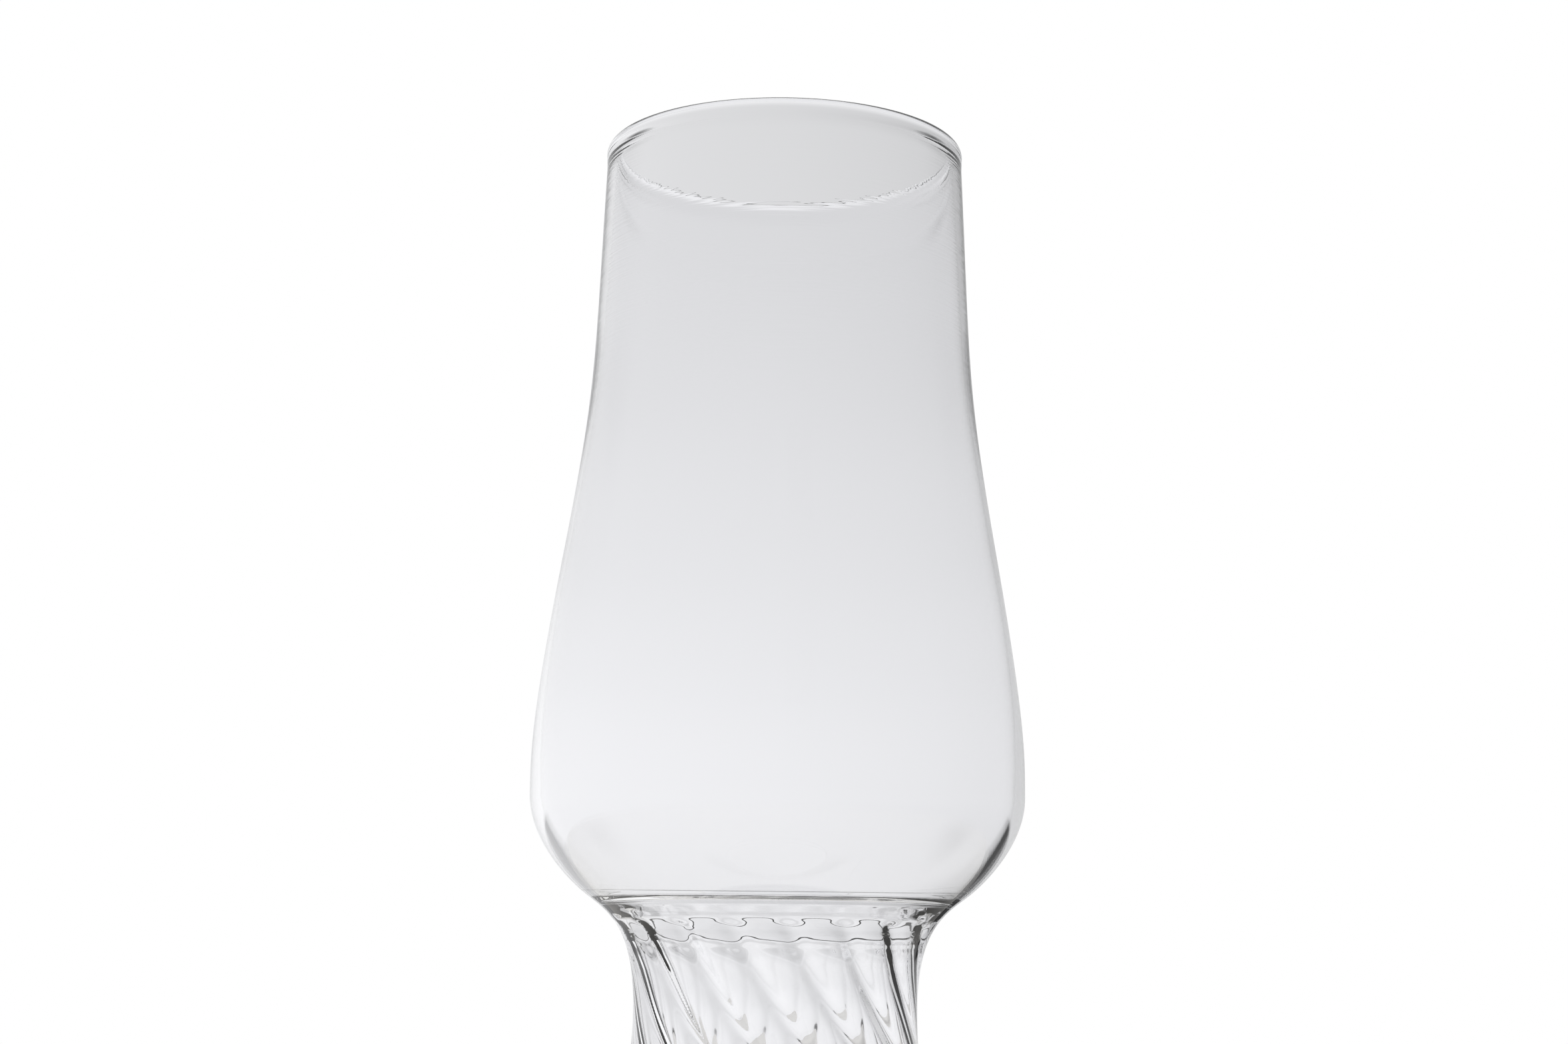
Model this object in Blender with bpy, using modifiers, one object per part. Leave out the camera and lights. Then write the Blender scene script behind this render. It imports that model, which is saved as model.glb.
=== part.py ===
# Beer glass: a blown bowl on a hollow, waisted base with twisted inner ribs, standing on a solid foot.
# Metres, +Z up, origin on the table under the middle of the foot.
import math

import bmesh
import bpy
import numpy as np
from mathutils import Vector
from mathutils.geometry import interpolate_bezier

# Heights, from the table to the shoulder above the neck and from there to the lip
FOOT_HEIGHT = 0.0090
BASE_HEIGHT = 0.0580
BOWL_DEPTH = 0.13045

# Outer radii, with the rise of each above the shoulder (a drop is below it)
LIP_RADIUS = 0.03118
FLANK_RADIUS = 0.03747
FLANK_RISE = 0.0572
BELLY_RADIUS = 0.0420
BELLY_RISE = 0.0169
SHOULDER_RADIUS = 0.03195
WAIST_RADIUS = 0.02385
WAIST_DROP = 0.0189
FOOT_RADIUS = 0.0320

# Leans of the outside: change of radius for each metre of rise
LIP_LEAN = -0.044
FLANK_LEAN = -0.169
SHOULDER_LEAN = 1.35
FOOT_LEAN = -0.22

# Pulls of the outside: how far each lean is held, as a share of the stretch above or below
LIP_PULL = 0.55
FLANK_PULL_UP = 0.44
FLANK_PULL_DOWN = 0.70
BELLY_PULL_UP = 0.17
BELLY_PULL_DOWN = 0.45
SHOULDER_PULL = 0.15
WAIST_PULL_UP = 0.70
WAIST_PULL_DOWN = 0.45
FOOT_PULL = 0.30

# Wall of the bowl, square to its outside, and the fire-polished bead of the lip
LIP_WALL = 0.00155
FLANK_WALL = 0.0008
BELLY_WALL = 0.0018
SHOULDER_WALL = 0.0019
BEAD_SWELL = 0.0003
BEAD_THICKENING = 0.0010
BEAD_RUN = 0.0028

# Crease at the bottom of the bowl, where the base's top stands in past the bowl's wall as a narrow step
CREASE_RISE = 0.0006
STEP_TREAD = 0.0007
STEP_RISER = 0.0004
FUSED_GAP = 0.0003

# Wall of the base, level, with the drop of each below the shoulder
NECK_WALL = 0.0030
NECK_DROP = 0.0030
THROAT_WALL = 0.0022
THROAT_DROP = 0.0060
BASE_WALL = 0.0017
FLOOR_ROUND = 0.0070

# Ribs of the hollow
RIB_COUNT = 17
RIB_DEPTH = 0.0007
RIB_START = 0.0012
RIB_RUN = 0.0020
TWIST_PER_METRE = math.radians(1500.0)

# Foot: rounded rim, standing ring and shallow hollow under it
FOOT_EDGE = 0.0022
PUNT_RADIUS = 0.0230
PUNT_DEPTH = 0.0012
FLOOR_DOME = 0.0012

# Facets
ROUND_STEPS = 56
RIB_POINTS = 6
CORE_LEVELS = 15
WALL_LEVELS = 5
SHOULDER_LEVELS = 7
BEAD_LEVELS = 3
NECK_LEVELS = 4
FLOOR_LEVELS = 3
EDGE_LEVELS = 5
CURVE_POINTS = 48
CUT_MARGIN = 0.0020
LEAN_STEP = 0.0004
MERGE_DISTANCE = 0.00001

LIP_HEIGHT = BASE_HEIGHT + BOWL_DEPTH
SEAM_HEIGHT = BASE_HEIGHT + CREASE_RISE


def clear_scene():
    for item in list(bpy.data.objects):
        bpy.data.objects.remove(item, do_unlink=True)


def new_collection(name):
    group = bpy.data.collections.new(name)
    bpy.context.scene.collection.children.link(group)
    return group


def glass(name, colour, roughness):
    # Clear, colourless glass
    material = bpy.data.materials.new(name)
    material.use_nodes = True
    shader = material.node_tree.nodes["Principled BSDF"]
    shader.inputs["Base Color"].default_value = (*colour, 1.0)
    shader.inputs["Roughness"].default_value = roughness
    shader.inputs["Metallic"].default_value = 0.0
    shader.inputs["Transmission Weight"].default_value = 1.0
    shader.inputs["IOR"].default_value = 1.5
    return material


def ease(value):
    # Smooth step from 0 to 1
    value = min(max(value, 0.0), 1.0)
    return value * value * (3.0 - 2.0 * value)


def stretch(upper, lower, upper_pull, lower_pull):
    # A smooth stretch of the outline between two stations, each a radius, a height and a lean
    drop = upper[1] - lower[1]
    start = Vector((upper[0], 0.0, upper[1]))
    end = Vector((lower[0], 0.0, lower[1]))
    start_handle = start - Vector((upper[2], 0.0, 1.0)) * drop * upper_pull
    end_handle = end + Vector((lower[2], 0.0, 1.0)) * drop * lower_pull
    return interpolate_bezier(start, start_handle, end_handle, end, CURVE_POINTS)


def outside():
    # The whole outline from the lip to the table, top to bottom
    lip = (LIP_RADIUS, LIP_HEIGHT, LIP_LEAN)
    flank = (FLANK_RADIUS, BASE_HEIGHT + FLANK_RISE, FLANK_LEAN)
    belly = (BELLY_RADIUS, BASE_HEIGHT + BELLY_RISE, 0.0)
    shoulder = (SHOULDER_RADIUS, BASE_HEIGHT, SHOULDER_LEAN)
    waist = (WAIST_RADIUS, BASE_HEIGHT - WAIST_DROP, 0.0)
    foot = (FOOT_RADIUS, 0.0, FOOT_LEAN)
    line = stretch(lip, flank, LIP_PULL, FLANK_PULL_UP)
    line += stretch(flank, belly, FLANK_PULL_DOWN, BELLY_PULL_UP)[1:]
    line += stretch(belly, shoulder, BELLY_PULL_DOWN, SHOULDER_PULL)[1:]
    line += stretch(shoulder, waist, SHOULDER_PULL, WAIST_PULL_UP)[1:]
    line += stretch(waist, foot, WAIST_PULL_DOWN, FOOT_PULL)[1:]
    return line


OUTLINE = outside()
OUTLINE_HEIGHTS = np.array([point.z for point in reversed(OUTLINE)])
OUTLINE_RADII = np.array([point.x for point in reversed(OUTLINE)])


def outer_radius(height):
    return float(np.interp(height, OUTLINE_HEIGHTS, OUTLINE_RADII))


def outer_lean(height):
    return (outer_radius(height + LEAN_STEP) - outer_radius(height - LEAN_STEP)) / (2.0 * LEAN_STEP)


def bead(height):
    # Share of the lip's bead at this height: 1 at the lip, 0 below the bead
    return ease((height - LIP_HEIGHT + BEAD_RUN) / BEAD_RUN)


def bowl_wall(height):
    heights = (BASE_HEIGHT, BASE_HEIGHT + BELLY_RISE, BASE_HEIGHT + FLANK_RISE, LIP_HEIGHT)
    walls = (SHOULDER_WALL, BELLY_WALL, FLANK_WALL, LIP_WALL)
    return float(np.interp(height, heights, walls)) + BEAD_THICKENING * bead(height)


def bowl_point(height):
    return Vector((outer_radius(height) + BEAD_SWELL * bead(height), 0.0, height))


def inner_point(height):
    # The point inside the wall, square to the outside at this height
    lean = outer_lean(height)
    inward = bowl_wall(height) / math.hypot(1.0, lean)
    return bowl_point(height) + Vector((-inward, 0.0, inward * lean))


def arc(centre, width, height, start, end, points):
    # Points on an elliptic arc in the XZ plane, angles in degrees from +X
    angles = np.radians(np.linspace(start, end, points))
    return [centre + Vector((width * math.cos(a), 0.0, height * math.sin(a))) for a in angles]


def levels(*stops):
    # Heights from (height, count) stops: each count divides the way down to the next stop
    result = [stops[0][0]]
    for (upper, count), (lower, _) in zip(stops, stops[1:]):
        result += list(np.linspace(upper, lower, count + 1)[1:])
    return result


def turned(name, profile, closed, material, group):
    # A profile in the XZ plane turned round the Z axis
    mesh = bpy.data.meshes.new(name)
    shape = bmesh.new()
    corners = [shape.verts.new(point) for point in profile]
    for first, second in zip(corners, corners[1:]):
        shape.edges.new((first, second))
    if closed:
        shape.edges.new((corners[-1], corners[0]))
    shape.to_mesh(mesh)
    shape.free()
    item = bpy.data.objects.new(name, mesh)
    group.objects.link(item)
    mesh.materials.append(material)
    screw = item.modifiers.new("turn", "SCREW")
    screw.axis = "Z"
    screw.angle = math.tau
    screw.steps = ROUND_STEPS
    screw.render_steps = ROUND_STEPS
    screw.use_merge_vertices = True
    screw.merge_threshold = MERGE_DISTANCE
    screw.use_smooth_shade = True
    return item


def bowl_heights():
    # Heights at which the bowl's wall is drawn, from the bead of the lip down past the seam
    bead_middle = LIP_HEIGHT - bowl_wall(LIP_HEIGHT) / 2.0
    flank = BASE_HEIGHT + FLANK_RISE
    belly = BASE_HEIGHT + BELLY_RISE
    return levels((bead_middle, BEAD_LEVELS), (LIP_HEIGHT - BEAD_RUN, WALL_LEVELS), (flank, WALL_LEVELS),
                  (belly, SHOULDER_LEVELS), (SEAM_HEIGHT, 1), (SEAM_HEIGHT - SHOULDER_WALL, 0))


def bowl_inside():
    # Inside of the bowl, from the lip down to the crease, where it is cut off level
    line = [inner_point(height) for height in bowl_heights()]
    above = [point for point in line if point.z > SEAM_HEIGHT]
    below = line[len(above)]
    share = (above[-1].z - SEAM_HEIGHT) / (above[-1].z - below.z)
    return above + [above[-1].lerp(below, share)]


def make_bowl(material, group):
    outer = [bowl_point(height) for height in bowl_heights()[:-1]]
    inner = bowl_inside()

    # Fire-polished lip
    top = (outer[0] + inner[0]) / 2.0
    half_lip = (outer[0].x - inner[0].x) / 2.0
    rim = arc(top, half_lip, LIP_HEIGHT - top.z, 180.0, 0.0, 2 * BEAD_LEVELS + 1)[1:-1]
    return turned("bowl", outer + inner[::-1] + rim, True, material, group)


def step_radius():
    return bowl_inside()[-1].x - STEP_TREAD


def bore_radius(height):
    # Hollow of the base without its ribs: the step, then the wall's inside, then the rounded floor
    step = SEAM_HEIGHT - STEP_RISER
    if height >= step:
        return step_radius()
    heights = (BASE_HEIGHT - WAIST_DROP, BASE_HEIGHT - THROAT_DROP, BASE_HEIGHT - NECK_DROP, step)
    walls = (BASE_WALL, THROAT_WALL, NECK_WALL, outer_radius(step) - step_radius())
    wall = float(np.interp(height, heights, walls))
    near_floor = min(max((FOOT_HEIGHT + FLOOR_ROUND - height) / FLOOR_ROUND, 0.0), 1.0)
    return outer_radius(height) - wall - FLOOR_ROUND * (1.0 - math.sqrt(1.0 - near_floor * near_floor))


def rib_height(height):
    grow = ease((BASE_HEIGHT - RIB_START - height) / RIB_RUN)
    fade = ease((height - FOOT_HEIGHT) / FLOOR_ROUND)
    return RIB_DEPTH * grow * fade


def rib_section(height):
    # One closed section of the hollow: ribs stand in from the bore and turn with the height
    count = RIB_COUNT * RIB_POINTS
    turn = TWIST_PER_METRE * (BASE_HEIGHT - height)
    section = []
    for index in range(count):
        angle = math.tau * index / count
        swell = (1.0 - math.cos(RIB_COUNT * angle)) / 2.0
        radius = bore_radius(height) - rib_height(height) * swell
        section.append(Vector((radius * math.cos(angle + turn), radius * math.sin(angle + turn), height)))
    return section


def make_core(group):
    # The hollow as a solid: a loft through the twisted sections, run past both ends of the base
    foot_top = FOOT_HEIGHT + FUSED_GAP
    heights = levels((SEAM_HEIGHT + CUT_MARGIN, 1), (SEAM_HEIGHT - STEP_RISER, 1),
                     (BASE_HEIGHT - RIB_START, NECK_LEVELS), (BASE_HEIGHT - THROAT_DROP, CORE_LEVELS),
                     (FOOT_HEIGHT + FLOOR_ROUND, NECK_LEVELS), (foot_top, 1), (foot_top - CUT_MARGIN, 0))
    mesh = bpy.data.meshes.new("base_hollow")
    shape = bmesh.new()
    rings = []
    for height in heights:
        corners = [shape.verts.new(point) for point in rib_section(max(height, foot_top))]
        for corner in corners:
            corner.co.z = height
        rings.append(corners)
    for upper, lower in zip(rings, rings[1:]):
        for index in range(len(upper)):
            following = (index + 1) % len(upper)
            shape.faces.new((upper[index], lower[index], lower[following], upper[following]))
    shape.faces.new(rings[0])
    shape.faces.new(rings[-1][::-1])
    shape.to_mesh(mesh)
    shape.free()
    core = bpy.data.objects.new("base_hollow", mesh)
    group.objects.link(core)
    core.hide_render = True
    core.display_type = "WIRE"
    return core


def make_base(material, group, core):
    top = SEAM_HEIGHT - FUSED_GAP
    bottom = FOOT_HEIGHT + FUSED_GAP
    waist = BASE_HEIGHT - WAIST_DROP
    throat = BASE_HEIGHT - THROAT_DROP
    side = [Vector((outer_radius(h), 0.0, h))
            for h in levels((top, NECK_LEVELS), (throat, NECK_LEVELS), (waist, WALL_LEVELS), (bottom, 0))]
    profile = [Vector((0.0, 0.0, top)), *side, Vector((0.0, 0.0, bottom))]
    item = turned("twisted_base", profile, False, material, group)
    cut = item.modifiers.new("hollow", "BOOLEAN")
    cut.operation = "DIFFERENCE"
    cut.solver = "EXACT"
    cut.object = core
    return item


def make_foot(material, group):
    seat = bore_radius(FOOT_HEIGHT)
    floor = [Vector((seat * share, 0.0, FOOT_HEIGHT + FLOOR_DOME * (1.0 - share * share)))
             for share in np.linspace(0.0, 1.0, FLOOR_LEVELS)]
    edge_centre = Vector((outer_radius(FOOT_EDGE) - FOOT_EDGE, 0.0, FOOT_EDGE))
    side = [Vector((outer_radius(h), 0.0, h)) for h in np.linspace(FOOT_HEIGHT, FOOT_EDGE, NECK_LEVELS)[:-1]]
    edge = arc(edge_centre, FOOT_EDGE, FOOT_EDGE, 0.0, -90.0, EDGE_LEVELS)
    punt = [Vector((PUNT_RADIUS * share, 0.0, PUNT_DEPTH * (1.0 - share * share)))
            for share in np.linspace(1.0, 0.0, FLOOR_LEVELS)]
    return turned("foot", floor + side + edge + punt, False, material, group)


def main():
    clear_scene()
    parts = new_collection("beer_glass")
    cutters = new_collection("cutters")
    stand = bpy.data.objects.new("stand", None)
    parts.objects.link(stand)
    bowl = make_bowl(glass("bowl_glass", (0.93, 0.94, 0.95), 0.02), parts)
    base = make_base(glass("base_glass", (0.94, 0.95, 0.96), 0.02), parts, make_core(cutters))
    foot = make_foot(glass("foot_glass", (0.93, 0.95, 0.95), 0.02), parts)
    for piece in (bowl, base, foot):
        piece.parent = stand


main()
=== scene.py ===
# Looks of the beer glass: blown bowl, hollow base with twisted ribs, solid foot
import math

import bmesh
import bpy
import numpy as np
from mathutils import Matrix, Vector
from mathutils.geometry import interpolate_bezier


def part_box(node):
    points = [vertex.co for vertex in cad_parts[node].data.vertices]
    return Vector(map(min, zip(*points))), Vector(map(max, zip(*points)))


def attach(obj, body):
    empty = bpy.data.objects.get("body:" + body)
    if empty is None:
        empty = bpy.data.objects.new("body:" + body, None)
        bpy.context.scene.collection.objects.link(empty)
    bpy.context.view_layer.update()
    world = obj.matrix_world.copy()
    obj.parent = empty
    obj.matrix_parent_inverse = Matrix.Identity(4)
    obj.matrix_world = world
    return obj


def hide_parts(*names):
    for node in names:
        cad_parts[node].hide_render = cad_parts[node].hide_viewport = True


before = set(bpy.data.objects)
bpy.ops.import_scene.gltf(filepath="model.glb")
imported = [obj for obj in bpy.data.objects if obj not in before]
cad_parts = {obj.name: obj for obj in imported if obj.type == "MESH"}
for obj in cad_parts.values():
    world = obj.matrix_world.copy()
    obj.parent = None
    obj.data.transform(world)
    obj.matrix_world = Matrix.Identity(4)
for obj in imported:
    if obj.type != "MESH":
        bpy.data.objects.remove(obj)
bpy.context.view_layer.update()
print("frame loaded:", sorted(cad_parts))


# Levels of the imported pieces, in metres above the table
creaseRise = 0.0002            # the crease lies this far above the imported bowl's lowest face
seamGap = 0.00002              # hairline between fused faces, far under a pixel
samePlace = 0.000001           # points nearer than this are one point
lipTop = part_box("bowl")[1][2]
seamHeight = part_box("bowl")[0][2] + creaseRise     # bowl fused to base
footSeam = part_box("twisted_base")[0][2]            # base fused to foot


def linearColor(hexText):
    channels = [int(hexText[i:i + 2], 16) / 255 for i in (1, 3, 5)]
    return [c / 12.92 if c <= 0.04045 else ((c + 0.055) / 1.055) ** 2.4 for c in channels] + [1.0]


def addNode(tree, kind, settings=None, inputs=None):
    node = tree.nodes.new(kind)
    for name, value in (settings or {}).items():
        setattr(node, name, value)
    for name, value in (inputs or {}).items():
        if isinstance(value, bpy.types.NodeSocket):
            tree.links.new(value, node.inputs[name])
        else:
            node.inputs[name].default_value = value
    return node


def newMaterial(name):
    material = bpy.data.materials.new(name)
    material.use_nodes = True
    return material, material.node_tree.nodes["Principled BSDF"]


# Outside of the whole glass, from the lip down: radius, height above the neck, lean, pulls up and down.
# The neck is where the bowl's shoulder turns into the base
neckHeight = 0.0580
outside = {
    "lip": (0.03118, lipTop - neckHeight, -0.044, 0.0, 0.55),
    "flank": (0.03747, 0.0572, -0.169, 0.44, 0.70),
    "belly": (0.0420, 0.0169, 0.0, 0.17, 0.45),
    "shoulder": (0.03195, 0.0, 1.35, 0.15, 0.15),
    "waist": (0.02385, -0.0189, 0.0, 0.70, 0.45),
    "foot": (0.0320, -0.0580, -0.22, 0.30, 0.0),
}
stretchPoints = 600            # points on the curve between two of these places


def traceOutside():
    places = list(outside.values())
    line = []
    for upper, lower in zip(places, places[1:]):
        upperRadius, upperRise, upperLean, _, pullDown = upper
        lowerRadius, lowerRise, lowerLean, pullUp, _ = lower
        drop = upperRise - lowerRise
        start = Vector((upperRadius, 0, neckHeight + upperRise))
        end = Vector((lowerRadius, 0, neckHeight + lowerRise))
        startHandle = start - Vector((upperLean, 0, 1)) * drop * pullDown
        endHandle = end + Vector((lowerLean, 0, 1)) * drop * pullUp
        stretch = interpolate_bezier(start, startHandle, endHandle, end, stretchPoints)
        line += stretch[1:] if line else stretch
    return line


outsideLine = traceOutside()[::-1]
outsideHeights = np.array([point.z for point in outsideLine])
outsideRadii = np.array([point.x for point in outsideLine])


def outerRadius(height):
    return float(np.interp(height, outsideHeights, outsideRadii))


def outerLean(height, reach=0.0005):
    return (outerRadius(height + reach) - outerRadius(height - reach)) / (2 * reach)


def ease(value):
    value = min(max(value, 0.0), 1.0)
    return value * value * (3 - 2 * value)


def smoothCurve(place, places, levels):
    # cubic through the given levels, without a kink at any of them
    slopes = np.gradient(levels, places)
    index = int(np.clip(np.searchsorted(places, place) - 1, 0, len(places) - 2))
    run = places[index + 1] - places[index]
    share = (place - places[index]) / run
    left = levels[index] + share * run * slopes[index]
    right = levels[index + 1] - (1 - share) * run * slopes[index + 1]
    return float(left + (right - left) * ease(share))


def spinProfile(points, steps, closed):
    bm = bmesh.new()
    verts = [bm.verts.new(point) for point in points]
    edges = [bm.edges.new(pair) for pair in zip(verts, verts[1:])]
    if closed:
        edges.append(bm.edges.new((verts[-1], verts[0])))
    bmesh.ops.spin(bm, geom=verts + edges, cent=(0, 0, 0), axis=(0, 0, 1), dvec=(0, 0, 0),
                   angle=math.tau, steps=steps, use_merge=True, use_duplicate=False)
    bmesh.ops.remove_doubles(bm, verts=bm.verts, dist=samePlace)
    bmesh.ops.recalc_face_normals(bm, faces=bm.faces)
    return bm


def finishPiece(bm, name, node, materials, seams):
    # each seam is a level and the radius beyond which its faces are fused to the next piece:
    # they get the seam finish and sharp borders, the rest is smooth
    for face in bm.faces:
        face.smooth = True
        middle = face.calc_center_median()
        if any(abs(middle.z - level) < samePlace and middle.xy.length > radius for level, radius in seams):
            face.material_index = 1
            for edge in face.edges:
                if any(other.material_index == 0 for other in edge.link_faces):
                    edge.smooth = False
    mesh = bpy.data.meshes.new(name)
    bm.to_mesh(mesh)
    bm.free()
    for material in materials:
        mesh.materials.append(material)
    piece = bpy.data.objects.new(name, mesh)
    bpy.context.scene.collection.objects.link(piece)
    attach(piece, "root")
    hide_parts(node)
    print(name, len(mesh.polygons), "faces")


# Soda-lime glass, blown and fire-polished: clear and nearly colourless, with sharp reflections and dark
# lines where the wall bends the light most
glassFinish = {
    "tint": "#FEFEFF",
    "ior": 1.51,
    "roughness": 0.0,
    "ringPitch": 0.00045,      # fine rings left by turning in the mould
    "ringLength": 0.015,
    "ringHeight": 0.000008,
    "ringFade": 0.075,         # the rings are strongest at the lip and gone this far below it
}


def blownGlass(name, ringed):
    material, shader = newMaterial(name)
    tree = material.node_tree
    shader.inputs["Base Color"].default_value = linearColor(glassFinish["tint"])
    shader.inputs["Roughness"].default_value = glassFinish["roughness"]
    shader.inputs["IOR"].default_value = glassFinish["ior"]
    shader.inputs["Transmission Weight"].default_value = 1.0
    if ringed:
        around = 1 / glassFinish["ringLength"]
        along = 1 / glassFinish["ringPitch"]
        place = addNode(tree, "ShaderNodeTexCoord").outputs["Object"]
        height = addNode(tree, "ShaderNodeSeparateXYZ", None, {0: place}).outputs["Z"]
        spread = addNode(tree, "ShaderNodeMapping", None,
                         {"Vector": place, "Scale": (around, around, along)})
        rings = addNode(tree, "ShaderNodeTexNoise", None,
                        {"Vector": spread.outputs[0], "Scale": 1.0, "Detail": 1.0, "Roughness": 0.5})
        share = addNode(tree, "ShaderNodeMapRange", {"interpolation_type": "SMOOTHSTEP"},
                        {"Value": height, "From Min": lipTop - glassFinish["ringFade"], "From Max": lipTop})
        bump = addNode(tree, "ShaderNodeBump", None,
                       {"Strength": share.outputs[0], "Distance": glassFinish["ringHeight"],
                        "Height": rings.outputs[0]})
        tree.links.new(bump.outputs[0], shader.inputs["Normal"])
    return material


def fusedSeam():
    # where two hot pieces of glass have run together there is no face left to see
    material, shader = newMaterial("fused glass seam")
    shader.inputs["Alpha"].default_value = 0.0
    shader.inputs["Roughness"].default_value = 1.0
    return material


bowlGlass = blownGlass("blown soda-lime glass, mould-turned", True)
baseGlass = blownGlass("blown soda-lime glass, ribbed", False)
footGlass = blownGlass("pressed soda-lime glass", False)
seamGlass = fusedSeam()
print("glass mixed")


# Bowl: wall square to the outside, by height above the neck
bowlShape = {
    "wallHeights": (-0.010, 0.004, 0.014, 0.036, 0.062, 0.098, 0.130),
    "walls": (0.00205, 0.0020, 0.00187, 0.00116, 0.0008, 0.00117, 0.00155),
    "neckThin": 0.00026,       # the wall thins by this much down to the neck
    "thinRun": 0.0035,
    "lipSwell": 0.00024,       # the melted lip stands out this far
    "lipThick": 0.0009,        # and is this much thicker than the wall
    "lipRun": 0.0042,
    "splitRise": 0.03,         # the rows lie closer together below this height
    "cutDrop": 0.004,          # the inside is drawn down to here, then cut off level with the seam
    "upperRows": 110,
    "innerRows": 110,
    "outerRows": 70,
    "lipRows": 24,
    "steps": 200,
}
bowlSplit = neckHeight + bowlShape["splitRise"]


def lipRise(height):
    return ease((height - lipTop + bowlShape["lipRun"]) / bowlShape["lipRun"])


def bowlWall(height):
    wall = smoothCurve(height - neckHeight, bowlShape["wallHeights"], bowlShape["walls"])
    thin = bowlShape["neckThin"] * math.exp((neckHeight - height) / bowlShape["thinRun"])
    return wall - thin + bowlShape["lipThick"] * lipRise(height)


lipEdge = lipTop - bowlWall(lipTop) / 2            # where the lip's rounding starts


def bowlOutside(height):
    return Vector((outerRadius(height) + bowlShape["lipSwell"] * lipRise(height), 0, height))


def innerPoint(height):
    lean = outerLean(height)
    inward = bowlWall(height) / math.hypot(1, lean)
    return bowlOutside(height) + Vector((-inward, 0, inward * lean))


def innerWall():
    upper = np.linspace(lipEdge, bowlSplit, bowlShape["upperRows"])
    lower = np.linspace(bowlSplit, neckHeight - bowlShape["cutDrop"], bowlShape["innerRows"])[1:]
    line = [innerPoint(height) for height in (*upper, *lower)]
    below = next(index for index, point in enumerate(line) if point.z < seamHeight)
    share = (line[below - 1].z - seamHeight) / (line[below - 1].z - line[below].z)
    return line[:below] + [line[below - 1].lerp(line[below], share)]


bowlInside = innerWall()
creaseRadius = bowlInside[-1].x


def buildBowl():
    bottom = seamHeight + seamGap / 2
    upper = np.linspace(lipEdge, bowlSplit, bowlShape["upperRows"])
    lower = np.linspace(bowlSplit, bottom, bowlShape["outerRows"])[1:]
    outer = [bowlOutside(height) for height in (*upper, *lower)]
    inner = bowlInside[:-1] + [Vector((creaseRadius, 0, bottom))]
    middle = (outer[0] + inner[0]) / 2
    half = outer[0].x - middle.x
    lip = [middle + Vector((half * math.cos(turn), 0, (lipTop - middle.z) * math.sin(turn)))
           for turn in np.radians(np.linspace(180, 0, bowlShape["lipRows"])[1:-1])]
    bm = spinProfile(outer + inner[::-1] + lip, bowlShape["steps"], True)
    finishPiece(bm, "glass_bowl", "bowl", (bowlGlass, seamGlass), ((bottom, 0),))


# Base: smooth outside, ribs on the inside that turn as they go down. Its top stands in past the bowl's
# wall as a narrow tread, which shows as the dark crease at the bottom of the bowl
baseShape = {
    "tread": 0.0020,
    "treadRound": 0.0004,      # rounding of the tread's inner edge
    "roundPull": 0.6,
    "roundRows": 8,
    "riser": 0.0010,           # height of the step under the tread
    "riserStart": 0.00001,     # the wall meets the riser over this height
    "wallHeights": (-0.056, -0.026, -0.012, -0.008, -0.006, -0.0045, -0.003, -0.0015),
    "walls": (0.0014, 0.00085, 0.0012, 0.0016, 0.0020, 0.00279, 0.0033, 0.0035),
    "floorRound": 0.0070,
    "ribs": 17,
    "ribDepth": 0.00064,
    "ribDepthGain": 0.01,      # share of the depth gained with each millimetre down
    "ribTurn": 1.28,           # degrees for each millimetre down
    "ribTurnGain": 0.0215,     # degrees for each square millimetre
    "ribPivot": 10.0,          # millimetres below the neck, where both gains are nought
    "ribStart": 0.0024,        # the ribs begin this far below the neck
    "ribRun": 0.0016,          # and have swelled up after this much more
    "ribMiddle": 0.4,          # share of the depth that is sunk into the wall
    "ribPhase": 287.0,
    "ribSharp": -0.4,          # below nought, the ribs are narrower than the grooves between them
    "splitDrop": 0.012,        # the rows lie closer together above this depth below the neck
    "upperRows": 50,
    "lowerRows": 26,
    "boreRows": 75,
    "steps": 408,
}
treadEdge = creaseRadius - baseShape["tread"]
stepHeight = seamHeight - baseShape["riser"]
baseSplit = neckHeight - baseShape["splitDrop"]


def boreRadius(height):
    if height >= stepHeight:
        return treadEdge
    heights = (*baseShape["wallHeights"], stepHeight - neckHeight)
    walls = (*baseShape["walls"], outerRadius(stepHeight) - treadEdge)
    low = min(max((footSeam + baseShape["floorRound"] - height) / baseShape["floorRound"], 0), 1)
    corner = baseShape["floorRound"] * (1 - math.sqrt(1 - low * low))
    return outerRadius(height) - smoothCurve(height - neckHeight, heights, walls) - corner


def ribRise(height, angle):
    fall = (neckHeight - height) * 1000            # in millimetres
    past = fall - baseShape["ribPivot"]
    turned = angle - math.radians(baseShape["ribTurn"] * fall + baseShape["ribTurnGain"] * past ** 2)
    phase = baseShape["ribs"] * turned + math.radians(baseShape["ribPhase"])
    wave = (1 - math.cos(phase + baseShape["ribSharp"] * math.sin(phase))) / 2
    depth = baseShape["ribDepth"] * (1 + baseShape["ribDepthGain"] * past)
    grow = ease((neckHeight - baseShape["ribStart"] - height) / baseShape["ribRun"])
    fade = ease((height - footSeam) / baseShape["floorRound"])
    return depth * grow * fade * (wave - baseShape["ribMiddle"])


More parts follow.
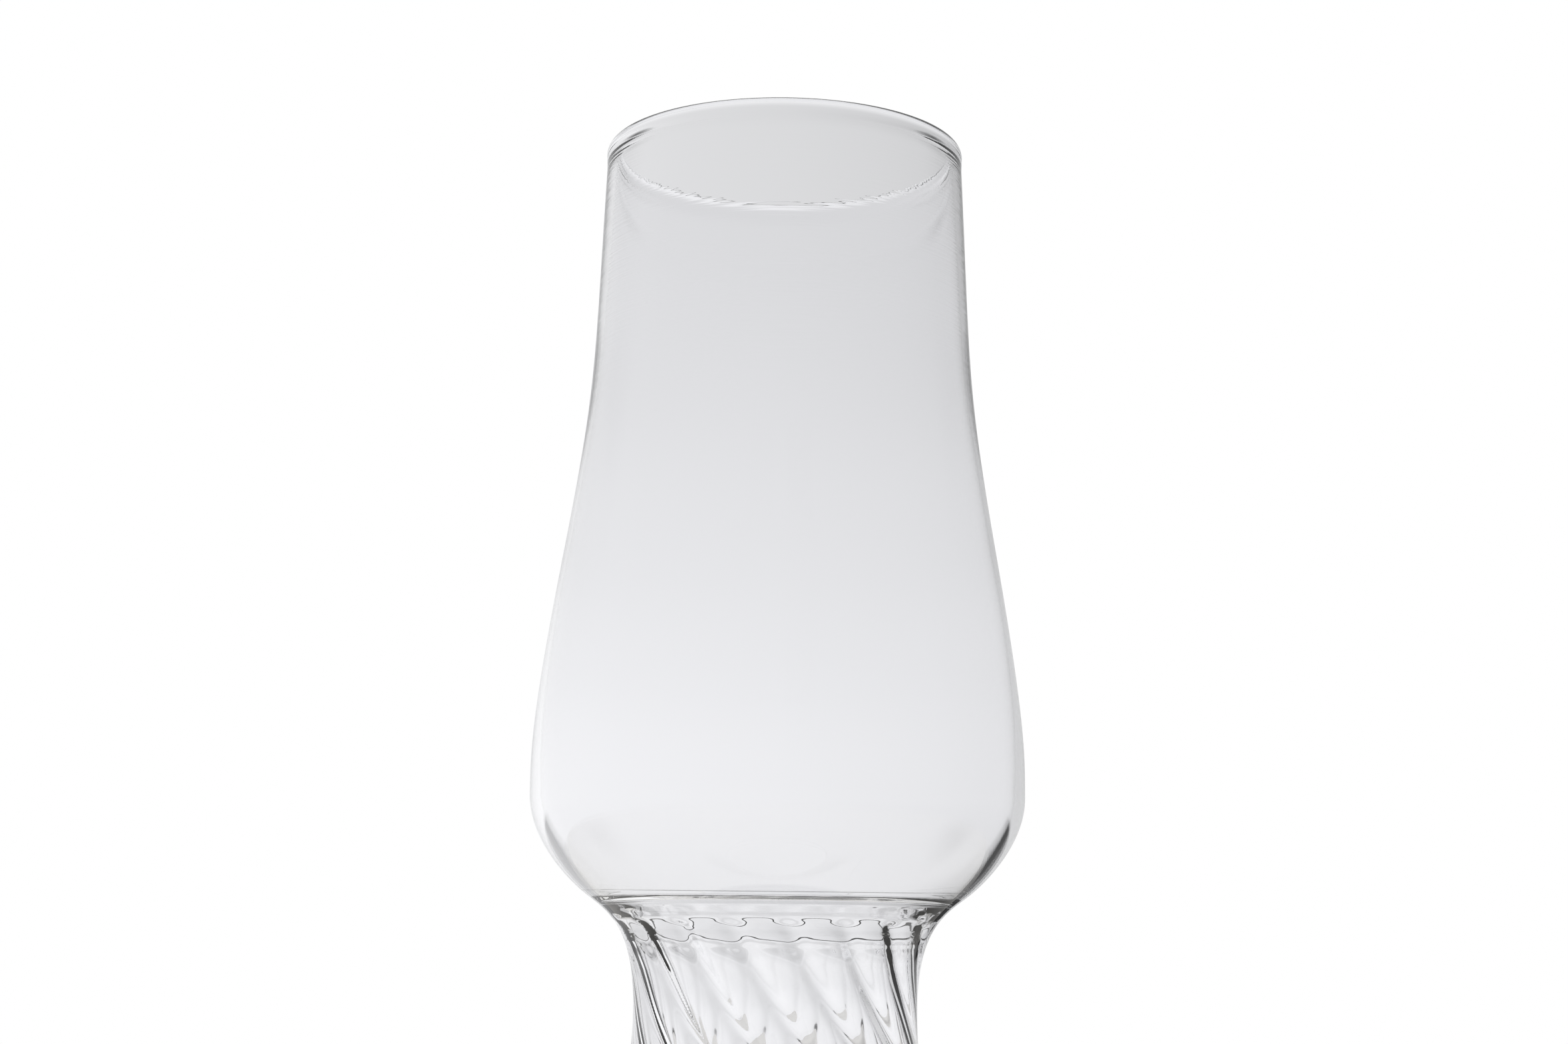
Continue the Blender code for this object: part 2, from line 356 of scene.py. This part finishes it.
def buildBase():
    top = seamHeight - seamGap / 2
    bottom = footSeam + seamGap / 2
    roundStart = top - baseShape["treadRound"]
    upper = np.linspace(top, baseSplit, baseShape["upperRows"])
    lower = np.linspace(baseSplit, bottom, baseShape["lowerRows"])[1:]
    outer = [Vector((outerRadius(height), 0, height)) for height in (*upper, *lower)]
    boreHeights = [*np.linspace(bottom, baseSplit, baseShape["boreRows"]),
                   *np.linspace(baseSplit, stepHeight, baseShape["boreRows"])[1:-1],
                   stepHeight - baseShape["riserStart"], stepHeight,
                   (stepHeight + roundStart) / 2, roundStart]
    bore = [Vector((boreRadius(height), 0, height)) for height in boreHeights]
    corner = Vector((treadEdge, 0, top))
    landing = corner + Vector((baseShape["treadRound"], 0, 0))
    pull = baseShape["roundPull"]
    rounding = interpolate_bezier(bore[-1], bore[-1].lerp(corner, pull), landing.lerp(corner, pull),
                                  landing, baseShape["roundRows"])[1:]
    crease = Vector((creaseRadius, 0, top))
    tread = [landing.lerp(crease, 0.5), crease]
    bm = spinProfile(outer + bore + rounding + tread, baseShape["steps"], True)
    for vert in bm.verts:
        # only the bore's points are drawn in or out by the ribs
        radius = vert.co.xy.length
        if abs(radius - boreRadius(vert.co.z)) < 2 * samePlace and vert.co.z < roundStart + samePlace:
            share = 1 - ribRise(vert.co.z, math.atan2(vert.co.y, vert.co.x)) / radius
            vert.co.x *= share
            vert.co.y *= share
    finishPiece(bm, "twisted_rib_base", "twisted_base", (baseGlass, seamGlass),
                ((top, creaseRadius), (bottom, 0)))


# Foot: solid disc with a rounded rim, a low dome inside the base and a shallow hollow underneath
footShape = {
    "edge": 0.0022,
    "puntRadius": 0.0230,
    "puntDepth": 0.0012,
    "dome": 0.0012,
    "rows": 16,
    "edgeRows": 14,
    "steps": 200,
}


def buildFoot():
    top = footSeam - seamGap / 2
    seat = boreRadius(footSeam)
    edge = footShape["edge"]
    shares = np.linspace(0, 1, footShape["rows"])
    floor = [Vector((seat * share, 0, top + footShape["dome"] * (1 - share * share))) for share in shares]
    side = [Vector((outerRadius(height), 0, height))
            for height in np.linspace(top, edge, footShape["rows"])[:-1]]
    rim = [Vector((outerRadius(edge) - edge + edge * math.cos(turn), 0, edge - edge * math.sin(turn)))
           for turn in np.radians(np.linspace(0, 90, footShape["edgeRows"]))]
    punt = [Vector((footShape["puntRadius"] * share, 0, footShape["puntDepth"] * (1 - share * share)))
            for share in shares[::-1]]
    bm = spinProfile(floor + side + rim + punt, footShape["steps"], False)
    finishPiece(bm, "glass_foot", "foot", (footGlass, seamGlass), ((top, seat),))


buildBowl()
buildBase()
buildFoot()


# Floor: round pale board that keeps the shadow, with the white of the backdrop beyond its edge.
# Matt paint looks even, without a shine
floorShape = {"radius": 0.19, "segments": 160, "thick": 0.004, "color": "#DCDBD8", "roughness": 0.9}


def buildFloor():
    bm = bmesh.new()
    radius = floorShape["radius"]
    thick = floorShape["thick"]
    bmesh.ops.create_cone(bm, cap_ends=True, segments=floorShape["segments"], radius1=radius,
                          radius2=radius, depth=thick, matrix=Matrix.Translation((0, 0, -thick / 2)))
    mesh = bpy.data.meshes.new("floor")
    bm.to_mesh(mesh)
    bm.free()
    floor = bpy.data.objects.new("floor", mesh)
    bpy.context.scene.collection.objects.link(floor)
    material, shader = newMaterial("matt painted board")
    shader.inputs["Base Color"].default_value = linearColor(floorShape["color"])
    shader.inputs["Roughness"].default_value = floorShape["roughness"]
    mesh.materials.append(material)


buildFloor()
print("floor set")


# Light tent: pale cloth all round, brighter on the left, with two low gaps behind the glass and a black
# flag hung at either side, which draws the dark marks at the ends of the rim. Each pair is an angle in
# degrees and the cloth's brightness there, or how much of it a gap or a flag takes away
tent = {
    "tint": (0.986, 0.989, 0.999),
    "byAzimuth": ((-180, 0.82), (-90, 1.03), (-25, 1.045), (-8, 0.94), (0, 0.90),
                  (9, 0.80), (30, 0.69), (90, 0.66), (180, 0.82)),
    "byElevation": ((-90, 1.0), (-4, 1.0), (1, 0.985), (6, 0.93), (16, 0.81), (24, 0.785), (90, 0.7)),
    "gapByAzimuth": ((-40, 0.0), (-37, 0.45), (-11, 0.45), (-8, 0.0),
                     (6, 0.0), (9, 0.88), (37, 0.88), (40, 0.0)),
    "gapByElevation": ((-55, 0.0), (-48, 1.0), (-10, 1.0), (-9, 0.0)),
    "flagByAzimuth": ((-76, 0.0), (-56, 0.9), (-48, 0.9), (-34, 0.0),
                      (34, 0.0), (48, 0.9), (56, 0.9), (76, 0.0)),
    "flagByElevation": ((18, 0.0), (28, 1.0), (31, 1.0), (44, 0.0)),
    "fill": 0.45,              # for matt surfaces
    "backdrop": 1.0,           # plain white for the camera
}
white = (1, 1, 1, 1)


def angleRamp(tree, angle, reach, stops, tint=(1, 1, 1)):
    # brightness by an angle in radians that runs from -reach to reach degrees
    limit = math.radians(reach)
    share = addNode(tree, "ShaderNodeMapRange", None,
                    {"Value": angle, "From Min": -limit, "From Max": limit}).outputs[0]
    ramp = addNode(tree, "ShaderNodeValToRGB", None, {0: share})
    elements = ramp.color_ramp.elements
    while len(elements) < len(stops):
        elements.new(0.5)
    for element, (degrees, level) in zip(elements, stops):
        element.position = (degrees + reach) / (2 * reach)
        element.color = (*(level * part for part in tint), 1)
    return ramp.outputs[0]


def buildWorld():
    world = bpy.data.worlds.new("light tent")
    bpy.context.scene.world = world
    world.use_nodes = True
    tree = world.node_tree
    tree.nodes.clear()
    way = addNode(tree, "ShaderNodeTexCoord").outputs["Generated"]
    axes = addNode(tree, "ShaderNodeSeparateXYZ", None, {0: way}).outputs
    azimuth = addNode(tree, "ShaderNodeMath", {"operation": "ARCTAN2"},
                      {0: axes["X"], 1: axes["Y"]}).outputs[0]
    elevation = addNode(tree, "ShaderNodeMath", {"operation": "ARCSINE"}, {0: axes["Z"]}).outputs[0]
    around = angleRamp(tree, azimuth, 180, tent["byAzimuth"], tent["tint"])
    level = angleRamp(tree, elevation, 90, tent["byElevation"])
    for dark in ("gap", "flag"):
        darkAround = angleRamp(tree, azimuth, 180, tent[dark + "ByAzimuth"])
        darkUpward = angleRamp(tree, elevation, 90, tent[dark + "ByElevation"])
        share = addNode(tree, "ShaderNodeMath", {"operation": "MULTIPLY"},
                        {0: darkAround, 1: darkUpward}).outputs[0]
        cloth = addNode(tree, "ShaderNodeMath", {"operation": "SUBTRACT"}, {0: 1.0, 1: share}).outputs[0]
        level = addNode(tree, "ShaderNodeMath", {"operation": "MULTIPLY"}, {0: level, 1: cloth}).outputs[0]
    glow = addNode(tree, "ShaderNodeBackground", None, {"Color": around, "Strength": level}).outputs[0]
    fill = addNode(tree, "ShaderNodeBackground", None,
                   {"Color": white, "Strength": tent["fill"]}).outputs[0]
    plain = addNode(tree, "ShaderNodeBackground", None,
                    {"Color": white, "Strength": tent["backdrop"]}).outputs[0]
    path = addNode(tree, "ShaderNodeLightPath").outputs
    clear = addNode(tree, "ShaderNodeMath", {"operation": "MAXIMUM"},
                    {0: path["Is Glossy Ray"], 1: path["Is Transmission Ray"]}).outputs[0]
    seen = addNode(tree, "ShaderNodeMixShader", None, {0: clear, 1: fill, 2: glow}).outputs[0]
    total = addNode(tree, "ShaderNodeMixShader", None,
                    {0: path["Is Camera Ray"], 1: seen, 2: plain}).outputs[0]
    addNode(tree, "ShaderNodeOutputWorld", None, {"Surface": total})


buildWorld()
print("tent hung")


# Soft lamp above the left shoulder of the camera, only for the board and its shadow
keyLamp = {"place": (-0.45, -0.75, 0.95), "aim": (0, 0, 0.08), "size": 0.35, "power": 16.0}


def buildLamp():
    lamp = bpy.data.lights.new("soft box", "AREA")
    lamp.size = keyLamp["size"]
    lamp.energy = keyLamp["power"]
    item = bpy.data.objects.new("soft box", lamp)
    item.location = keyLamp["place"]
    back = Vector(keyLamp["place"]) - Vector(keyLamp["aim"])
    item.rotation_euler = back.to_track_quat("Z", "Y").to_euler()
    item.visible_glossy = False
    item.visible_transmission = False
    bpy.context.scene.collection.objects.link(item)


buildLamp()
print("lamp set")


# Camera: low, at the height of the neck, tipped up, a little rolled
shot = {
    "imageWidth": 2356,
    "focalPixels": 3580.0,
    "sensor": 36.0,
    "clipStart": 0.01,
    "distance": 0.40842,
    "height": neckHeight,
    "pitch": 8.940,            # degrees
    "roll": 0.628,
    "yaw": 0.084,
}


def placeCamera():
    camera = bpy.data.cameras.new("camera")
    camera.sensor_width = shot["sensor"]
    camera.lens = shot["focalPixels"] / shot["imageWidth"] * shot["sensor"]
    camera.clip_start = shot["clipStart"]
    item = bpy.data.objects.new("camera", camera)
    bpy.context.scene.collection.objects.link(item)
    item.matrix_world = (Matrix.Translation((0, -shot["distance"], shot["height"]))
                         @ Matrix.Rotation(math.radians(-shot["yaw"]), 4, "Z")
                         @ Matrix.Rotation(math.radians(90 + shot["pitch"]), 4, "X")
                         @ Matrix.Rotation(math.radians(shot["roll"]), 4, "Z"))
    bpy.context.scene.camera = item


placeCamera()
bpy.context.scene.view_settings.view_transform = "Standard"
print("camera set")
